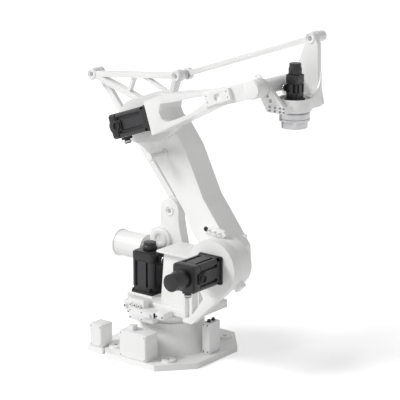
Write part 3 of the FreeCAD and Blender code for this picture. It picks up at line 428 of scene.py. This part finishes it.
# Balance unit. The spring can and its neck are painted with the arms, and a round boss cast on the post
# takes the hinge where the neck comes in.
arm_paint = finish_material("satin white paint on cast aluminium", "F5F5F4", "ECECEB", 0.36, coat=0.15)
rounded("balance_can", 5, arm_paint)
rounded("balance_neck", 3, arm_paint)
boss_steps = [(0.082, 0.0), (0.082, 0.088), (0.06, 0.088), (0.06, 0.094), (0.03, 0.094), (0.03, 0.09)]
boss_centre = (-0.158, 0.168, 0.694)
boss = placed(bevelled(turned(boss_steps), 0.003), facing_motors(*boss_centre))
make_piece("balance_hinge_boss", boss, iron_paint, "turret")

# Lower arm. A bent aluminium box casting with a hub at the shoulder and a head at the elbow, a stop bar
# under the elbow, and a small cast lug for a hose on its front edge.
rounded("lower_arm", 8, arm_paint)
rounded("elbow_stop", 4, arm_paint)
lug_outline = [(-0.012, -0.006), (0.012, -0.006), (0.010, 0.022), (0.004, 0.029), (-0.004, 0.029),
               (-0.010, 0.022)]
lug_foot, lug_thickness, edge_slope = (0.541, 0.067, 0.832), 0.014, math.radians(50.2)
lug_place = Matrix.Translation(lug_foot) @ Matrix.Rotation(edge_slope, 4, "Y") @ facing_motors(0, 0, 0)
lug = bevelled(placed(prism(lug_outline, 0, lug_thickness), lug_place), 0.0015)
make_piece("lower_arm_lug", lug, arm_paint, "lower_arm_body")

# Hose bracket. A painted plate above the hub holds a black rubber grommet for the thick cable and a row of
# white hose stubs, all pushed in from the motors' side.


def middle(node):
    """The middle of a CAD piece's box."""
    low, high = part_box(node)
    return (low + high) / 2


rounded("hose_bracket", 3, arm_paint)
bracket = middle("hose_bracket")
bracket_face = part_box("hose_bracket")[0].y
bracket_turn = math.radians(-6)


def on_bracket(shift):
    """A place on the bracket's face, at a distance from its middle along its slope."""
    return facing_motors(bracket.x + shift * math.cos(bracket_turn), bracket_face,
                         bracket.z + shift * math.sin(bracket_turn))


stub_steps = [(0.0095, -0.004), (0.0095, 0.006), (0.0075, 0.006), (0.0075, 0.017), (0.004, 0.017),
              (0.004, 0.010)]
stubs = [placed(turned(stub_steps), on_bracket(shift)) for shift in (-0.034, 0.008, 0.048)]
make_piece("hose_bracket_stubs", bevelled(merged(stubs), 0.0006, 1), arm_paint, "lower_arm_body")
grommet = turned([(0.015, -0.004), (0.015, 0.005), (0.010, 0.009), (0.006, 0.009), (0.006, 0.001)])
grommet = bevelled(placed(grommet, on_bracket(-0.062)), 0.0006)
make_piece("hose_bracket_grommet", grommet, black_plastic_and_hole_shade, "lower_arm_body")

# Linkage that keeps the wrist level. The lattice rocker and the two rods are aluminium castings, and they
# turn on ground steel pins. A pin has a cover ring on its casting's face, with the pin's end in its middle.
rounded("rocker_frame", 4, arm_paint)
for node in ("rear_rod", "top_rod"):
    rounded(node, 3, arm_paint)
for node in ("foot_pin", "rocker_pin_rear", "rocker_pin_front", "crown_pin"):
    rounded(node, 1.5, ground_steel, 2)
for pin, body, face_y in (("rocker_pin_rear", "rocker", 0.122), ("rocker_pin_front", "rocker", 0.122),
                          ("crown_pin", "wrist", 0.190), ("foot_pin", "turret", 0.098)):
    centre = middle(pin)
    seat = facing_motors(centre.x, face_y, centre.z)
    ring = bevelled(turned([(0.033, -0.002), (0.033, 0.005), (0.025, 0.005), (0.025, 0.0015)]), 0.0008)
    make_piece(f"{pin}_cover", placed(ring, seat), arm_paint, body)
    pin_end = bevelled(turned([(0.014, 0.0), (0.014, 0.004)]), 0.0008)
    make_piece(f"{pin}_end", placed(pin_end, seat), ground_steel, body)

# Upper arm. An open frame casting with a cheek at the elbow and a boss round the wrist pin, and on top of
# that boss a low cast lifting eye with a slot.
rounded("upper_arm", 4, arm_paint)
rounded("wrist_pin", 4, arm_paint)
wrist = middle("wrist_pin")
eye_turns, eye_sides, eye_radius, eye_wire = 28, 12, 0.012, 0.0068
eye = bpy.data.meshes.new("eye")
eye_shape = bmesh.new()
loops = []
for step in range(eye_turns):
    around = 2 * math.pi * step / eye_turns
    loop = []
    for side in range(eye_sides):
        about = 2 * math.pi * side / eye_sides
        reach = eye_radius + eye_wire * math.cos(about)
        point = (reach * math.cos(around), eye_wire * math.sin(about), reach * math.sin(around))
        loop.append(eye_shape.verts.new(point))
    loops.append(loop)
for step in range(eye_turns):
    following = loops[(step + 1) % eye_turns]
    for side in range(eye_sides):
        beside = (side + 1) % eye_sides
        eye_shape.faces.new((loops[step][side], loops[step][beside], following[beside], following[side]))
bmesh.ops.recalc_face_normals(eye_shape, faces=eye_shape.faces)
eye_shape.to_mesh(eye)
eye_shape.free()
flattened = Matrix.Diagonal((1.5, 1, 0.8, 1))
collar = turned([(0.012, -0.004), (0.012, 0.006), (0.006, 0.011)])
lifting_eye = merged([placed(eye, Matrix.Translation((0, 0, 0.013)) @ flattened), collar])
lifting_eye.transform(Matrix.Translation((wrist.x, -0.2, wrist.z + 0.0575)))
smooth_by_angle(lifting_eye)
make_piece("lifting_eye", lifting_eye, arm_paint, "upper_arm_body")

# Wrist. The casting has a barrel on the wrist pin, webs and a round housing for the tool motor, and a side
# plate that reaches up to the crown pin. The housing has a raised rim, a curved gusset joins it to the side
# plate, and a row of cap screws and the crown pin's round cap are fixed from outside.
tool = middle("tool_gear")
for node in ("wrist_casting", "wrist_side_plate"):
    rounded(node, 4, arm_paint)
wrist_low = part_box("wrist_casting")[0]
foot_places = [Vector((tool.x + along, wrist_low.y, wrist_low.z + up))
               for along in (-0.066, -0.028, 0.01, 0.036) for up in (0.012, 0.034)]
screws("wrist_foot_screws", foot_places, out_y, 6, 6, "wrist")
housing_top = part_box("motor_4_body")[0].z
rim = bevelled(turned([(0.103, -0.003), (0.103, 0.016), (0.092, 0.016), (0.092, 0.001)]), 0.003)
make_piece("wrist_housing_rim", placed(rim, Matrix.Translation((tool.x, 0, housing_top))), arm_paint, "wrist")
gusset_radius, gusset_steps, plate_face, sink = 0.15, 12, 0.19, 0.001
gusset_foot = housing_top - 0.004
gusset_outline = [(plate_face + sink, gusset_foot), (plate_face + sink, housing_top + gusset_radius)]
for step in range(gusset_steps + 1):
    angle = math.radians(90 * step / gusset_steps)
    gusset_outline.append((plate_face - gusset_radius + gusset_radius * math.cos(angle),
                           housing_top + gusset_radius - gusset_radius * math.sin(angle)))
gusset_outline.append((plate_face - gusset_radius, gusset_foot))
gusset = prism(list(reversed(gusset_outline)), tool.x + 0.048, tool.x + 0.061)
along_x = Matrix(((0, 0, 1, 0), (1, 0, 0, 0), (0, 1, 0, 0), (0, 0, 0, 1)))
make_piece("wrist_gusset", bevelled(placed(gusset, along_x), 0.002), arm_paint, "wrist")
crown = middle("crown_pin")
crown_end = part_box("crown_pin")[1].y
away_from_motors = Matrix.Rotation(math.radians(-90), 4, "X")
crown_place = Matrix.Translation((crown.x, crown_end - 0.008, crown.z)) @ away_from_motors
crown_cap = bevelled(turned([(0.034, 0.0), (0.034, 0.05), (0.03, 0.054)]), 0.0015)
make_piece("crown_pin_cap", placed(crown_cap, crown_place), arm_paint, "wrist")

# Servomotors. Each has a square enamelled front bell with its flange, a grooved anodised middle, a rear bell
# and a stepped round encoder cover. Black cap screws hold the flange of a large one at its four corners.


def notched(half, notch):
    """A square outline with its corners cut back for the fixing screws."""
    inner = half - notch
    return [(half, -inner), (half, inner), (inner, inner), (inner, half),
            (-inner, half), (-inner, inner), (-half, inner), (-half, -inner),
            (-inner, -inner), (-inner, -half), (inner, -half), (inner, -inner)]


def chamfered(half, cut):
    """A square outline with its corners cut off."""
    inner = half - cut
    return [(half, -inner), (half, inner), (inner, half), (-inner, half), (-half, inner), (-half, -inner),
            (-inner, -half), (inner, -half)]


def grooved(half, cut, offset, width, depth):
    """A chamfered square whose sides each carry two long grooves, at an offset either side of the middle."""
    floor_share = 0.7
    corners = chamfered(half, cut)
    outline = []
    for index in range(0, 8, 2):
        start, end = Vector(corners[index]), Vector(corners[index + 1])
        way = (end - start).normalized()
        inward = Vector((-way.y, way.x)) * depth
        centre = (start + end) / 2
        outline.append(tuple(start))
        for side in (-offset, offset):
            for step, deep in ((-width / 2, False), (-width / 2, True), (width / 2, True),
                               (width / 2, False)):
                point = centre + way * (side + step * (floor_share if deep else 1.0))
                outline.append(tuple(point + inward if deep else point))
        outline.append(tuple(end))
    return outline


def servomotor(name, place, flange, length, cap_length, cover_radius, body):
    """One motor along +Z from its mounting face, with a flange of a given side."""
    half = flange / 2
    bell = half - 0.0045
    cut = half * 0.16
    flange_depth, front_end = 0.014, 0.05
    rear_lip = length - 0.006
    front = [prism(chamfered(half, half * 0.09), 0, flange_depth),
             prism(notched(bell, half * 0.22), flange_depth, front_end)]
    rear = [prism(chamfered(bell - 0.005, cut), length - 0.066, length - 0.052),
            prism(chamfered(bell, cut), length - 0.056, rear_lip),
            prism(chamfered(bell - 0.008, cut), rear_lip, length)]
    bells = placed(bevelled(merged(front + rear), 0.0022), place)
    bell_piece = make_piece(f"{name}_bells", bells, motor_enamel, body)
    groove_outline = grooved(bell - 0.001, cut, half * 0.5, 0.021, 0.013)
    core = bevelled(prism(groove_outline, front_end - 0.004, length - 0.062), 0.0008, 1)
    make_piece(f"{name}_core", placed(core, place), motor_core, body)
    cover_steps = [(cover_radius, length - 0.002), (cover_radius, length + cap_length * 0.5),
                   (cover_radius * 0.9, length + cap_length * 0.62),
                   (cover_radius * 0.9, length + cap_length - 0.001)]
    cover = placed(bevelled(turned(cover_steps), 0.0018), place)
    cover_piece = make_piece(f"{name}_cover", cover, motor_enamel, body)
    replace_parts(bell_piece, f"{name}_body")
    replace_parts(cover_piece, f"{name}_cap")
    if name != "motor_4":
        corners = [place @ Vector((a * flange * 0.425, b * flange * 0.425, flange_depth + 0.0005))
                   for a, b in ((-1, -1), (1, -1), (1, 1), (-1, 1))]
        screws(f"{name}_flange_screws", corners, place.to_3x3() @ up_z, 9, 10, body, black_screws)


motor_enamel = finish_material("black enamelled motor housing", "0F0F11", "0A0A0B", 0.4, patch_mm=90)
motor_core = finish_material("black anodised motor body", "29292C", "1F1F22", 0.44, grain_mm=0.6, relief=0.2)
black_screws = finish_material("black oxide cap screws", "161617", "0D0D0E", 0.42, metallic=0.4,
                               grain_mm=0.3)
# Each motor's place, flange side, length, length and radius of its encoder cover, and body. The elbow motor
# lies along the slope of the upper arm, so its length comes from that slope and its box.
motors = {}
for name, cover_radius, body in (("motor_1", 0.046, "turret"), ("motor_4", 0.04, "wrist")):
    low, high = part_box(f"{name}_body")
    cap_low, cap_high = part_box(f"{name}_cap")
    upright = Matrix.Translation(((low.x + high.x) / 2, (low.y + high.y) / 2, low.z))
    motors[name] = (upright, high.x - low.x, high.z - low.z, cap_high.z - cap_low.z, cover_radius, body)
shoulder = middle("shoulder_gear")
low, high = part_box("motor_2_body")
cap_low, cap_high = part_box("motor_2_cap")
sideways = facing_motors(shoulder.x, high.y, shoulder.z)
motors["motor_2"] = (sideways, high.x - low.x, high.y - low.y, cap_high.y - cap_low.y, 0.06, "turret")
elbow = middle("elbow_shaft")
pitch = math.atan2(wrist.z - elbow.z, wrist.x - elbow.x)
low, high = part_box("motor_3_body")
half_side = (high.y - low.y) / 2
front = (high.x - elbow.x - half_side * math.sin(pitch)) / math.cos(pitch)
rear = (low.x - elbow.x + (half_side - 0.004) * math.sin(pitch)) / math.cos(pitch)
mounting_face = (elbow.x + front * math.cos(pitch), (low.y + high.y) / 2, elbow.z + front * math.sin(pitch))
backward = Matrix.Rotation(-pitch, 4, "Y") @ Matrix.Rotation(math.radians(-90), 4, "Y")
lying = Matrix.Translation(mounting_face) @ backward
motors["motor_3"] = (lying, 2 * half_side, front - rear, 0.034, 0.055, "upper_arm_body")
for name, (place, side, length, cap_length, cover_radius, body) in motors.items():
    servomotor(name, place, side, length, cap_length, cover_radius, body)

# Plugs and power sockets of the motors. Each motor has an angled black plug with a knurled steel ring; the
# shoulder and elbow motors also have a cast socket housing near the rear end, with an open round collar.


def plug(name, place, side, rise, body):
    """An angled plug: a square foot, a shell and the knurled ring of the cable side."""
    foot = prism(chamfered(side / 2, side * 0.1), 0, rise * 0.35)
    shell = turned([(side * 0.36, rise * 0.3), (side * 0.36, rise * 0.94)])
    housing = placed(bevelled(merged([foot, shell]), 0.0012), place)
    piece = make_piece(f"{name}_shell", housing, black_plastic_and_hole_shade, body)
    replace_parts(piece, name)
    teeth, tooth_height = 36, 0.0008
    knurl = []
    for flank in range(2 * teeth):
        radius = side * 0.42 + (tooth_height if flank % 2 else 0)
        turn = math.pi * flank / teeth
        knurl.append((radius * math.cos(turn), radius * math.sin(turn)))
    make_piece(f"{name}_ring", placed(prism(knurl, rise * 0.55, rise * 0.8), place), ground_steel, body)


plug_drop = 0.023
large_side, large_rise = 0.054, 0.045
for name, turn, body in (("motor_2", 0.0, "turret"), ("motor_3", -pitch, "upper_arm_body")):
    up_way = Matrix.Rotation(turn, 4, "Y")
    seat = middle(f"{name}_plug") + (up_way @ Vector((0, 0, plug_drop)))
    hanging = Matrix.Translation(seat) @ up_way @ Matrix.Rotation(math.pi, 4, "Y")
    plug(f"{name}_plug", hanging, large_side, large_rise, body)
for name, end, degrees, side, rise, body in (("motor_1", 0, 90, large_side, large_rise, "turret"),
                                             ("motor_4", 1, -90, 0.036, 0.025, "wrist")):
    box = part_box(f"{name}_plug")
    seat = Matrix.Translation((box[end].x, (box[0].y + box[1].y) / 2, (box[0].z + box[1].z) / 2))
    plug(f"{name}_plug", seat @ Matrix.Rotation(math.radians(degrees), 4, "Y"), side, rise, body)
for name, outward in (("motor_2", Vector((1, 0, 0))), ("motor_3", Vector((0, -1, 0)))):
    place, side, length, _, _, body = motors[name]
    facing = place.to_3x3().inverted() @ outward
    seat = Matrix.Translation(facing * (side / 2 - 0.0055) + Vector((0, 0, length - 0.07)))
    foot = prism(chamfered(0.033, 0.006), -0.004, 0.011)
    collar = turned([(0.027, 0.009), (0.027, 0.022), (0.021, 0.022), (0.021, 0.012)])
    aimed = place @ seat @ facing.to_track_quat("Z", "Y").to_matrix().to_4x4()
    housing = placed(bevelled(merged([foot, collar]), 0.0012), aimed)
    make_piece(f"{name}_socket", housing, black_plastic_and_hole_shade, body)

# Tool gear unit and tool flange. The gear unit's casing is turned in steps with a groove below its lip and
# bolted under the wrist housing; the flange turns under it, with six small cap screws round its middle.
gear_metal = finish_material("turned gear unit casing", "C6C6C8", "A2A2A4", 0.22, metallic=1.0, grain_mm=0.7,
                             patch_mm=45)
gear_low, gear_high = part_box("tool_gear")
gear_steps = [(0.094, 0.0), (0.094, 0.012), (0.089, 0.014), (0.089, 0.019), (0.094, 0.021), (0.094, 0.046),
              (0.088, 0.052), (0.084, 0.052), (0.084, gear_high.z - gear_low.z)]
gear_unit = placed(turned(gear_steps), Matrix.Translation((tool.x, tool.y, gear_low.z)))
smooth_by_angle(gear_unit)
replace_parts(make_piece("tool_gear_finished", gear_unit, gear_metal, owner("tool_gear")), "tool_gear")
rounded("tool_flange", 2, gear_metal, 2)
flange_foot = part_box("tool_flange")[0].z
flange_places = circle_of_places(tool, radius=0.03, count=6, level=flange_foot + 0.009, start=0.5)
screws("tool_flange_screws", flange_places, -up_z, 4, 4, "tool")

# Floor and light. The machine stands on a white sweep under a large soft lamp on its motors' side, high
# and behind, so that the faces towards +X fall into shade and the shadow lies to the right.


def seen_rays(tree):
    """One where the camera, a gloss or a clear stuff looks at the surface, else nothing."""
    rays = add_node(tree, "ShaderNodeLightPath")
    total = rays.outputs["Is Camera Ray"]
    for kind in ("Is Glossy Ray", "Is Transmission Ray"):
        added = add_node(tree, "ShaderNodeMath", operation="MAXIMUM")
        tree.links.new(total, added.inputs[0])
        tree.links.new(rays.outputs[kind], added.inputs[1])
        total = added.outputs[0]
    return total


sweep_half = 30
floor_mesh = bpy.data.meshes.new("floor")
sweep_corners = [(x, y, 0) for x, y in rectangle(-sweep_half, -sweep_half, sweep_half, sweep_half)]
floor_mesh.from_pydata(sweep_corners, [], [(0, 1, 2, 3)])
floor = bpy.data.objects.new("floor", floor_mesh)
bpy.context.scene.collection.objects.link(floor)
floor_material = finish_material("white studio sweep", "FFFFFF", "FDFDFD", 0.9, relief=0.0)
sweep = floor_material.node_tree
glow = add_node(sweep, "ShaderNodeEmission", Color=linear("FFFFFF"))
seen_strength = add_node(sweep, "ShaderNodeMath", operation="MULTIPLY")
seen_strength.inputs[1].default_value = 0.4
lit = add_node(sweep, "ShaderNodeAddShader")
sweep.links.new(seen_rays(sweep), seen_strength.inputs[0])
sweep.links.new(seen_strength.outputs[0], glow.inputs["Strength"])
sweep.links.new(sweep.nodes["Principled BSDF"].outputs[0], lit.inputs[0])
sweep.links.new(glow.outputs[0], lit.inputs[1])
sweep.links.new(lit.outputs[0], sweep.nodes["Material Output"].inputs["Surface"])
floor_mesh.materials.append(floor_material)
world = bpy.data.worlds.new("studio")
world.use_nodes = True
sky = world.node_tree
white = sky.nodes["Background"]
white.inputs["Color"].default_value = linear("FFFFFF")
white.inputs["Strength"].default_value = 1.0
ambient = add_node(sky, "ShaderNodeBackground", Color=linear("FFFFFF"), Strength=0.36)
blend = add_node(sky, "ShaderNodeMixShader")
sky.links.new(seen_rays(sky), blend.inputs[0])
sky.links.new(ambient.outputs[0], blend.inputs[1])
sky.links.new(white.outputs[0], blend.inputs[2])
sky.links.new(blend.outputs[0], sky.nodes["World Output"].inputs["Surface"])
bpy.context.scene.world = world


def lamp(name, place, target, kind, size, power):
    """A soft lamp: a sun by its spread in degrees, an area lamp by its width."""
    light = bpy.data.lights.new(name, kind)
    if kind == "SUN":
        light.angle = math.radians(size)
    else:
        light.shape = "DISK"
        light.size = size
    light.energy = power
    holder = bpy.data.objects.new(name, light)
    holder.location = place
    holder.rotation_euler = (Vector(target) - Vector(place)).to_track_quat("-Z", "Y").to_euler()
    bpy.context.scene.collection.objects.link(holder)


lamp("key", (-3.6, -4.4, 5.6), (0.2, 0, 0.9), "SUN", size=24, power=2.15)
lamp("fill", (5.5, -5.5, 3.0), (0.3, 0, 1.0), "AREA", size=4.0, power=20)

# The camera stands low at the machine's front right corner, far off with a long lens, and takes a square
# picture of 400 pixels.
turn, rise, distance = math.radians(38.5), math.radians(14.65), 10.838
target = Vector((0.2429, 0.0, 1.0349))
way = Vector((math.sin(turn) * math.cos(rise), -math.cos(turn) * math.cos(rise), math.sin(rise)))
sensor_width, picture_px, focal_px = 36.0, 400, 1723.5
camera = bpy.data.objects.new("camera", bpy.data.cameras.new("camera"))
camera.data.sensor_width = sensor_width
camera.data.lens = focal_px / picture_px * sensor_width
camera.data.clip_end = 100.0
camera.location = target + way * distance
camera.rotation_euler = (-way).to_track_quat("-Z", "Y").to_euler()
bpy.context.scene.collection.objects.link(camera)
bpy.context.scene.camera = camera
bpy.context.scene.view_settings.view_transform = "Standard"
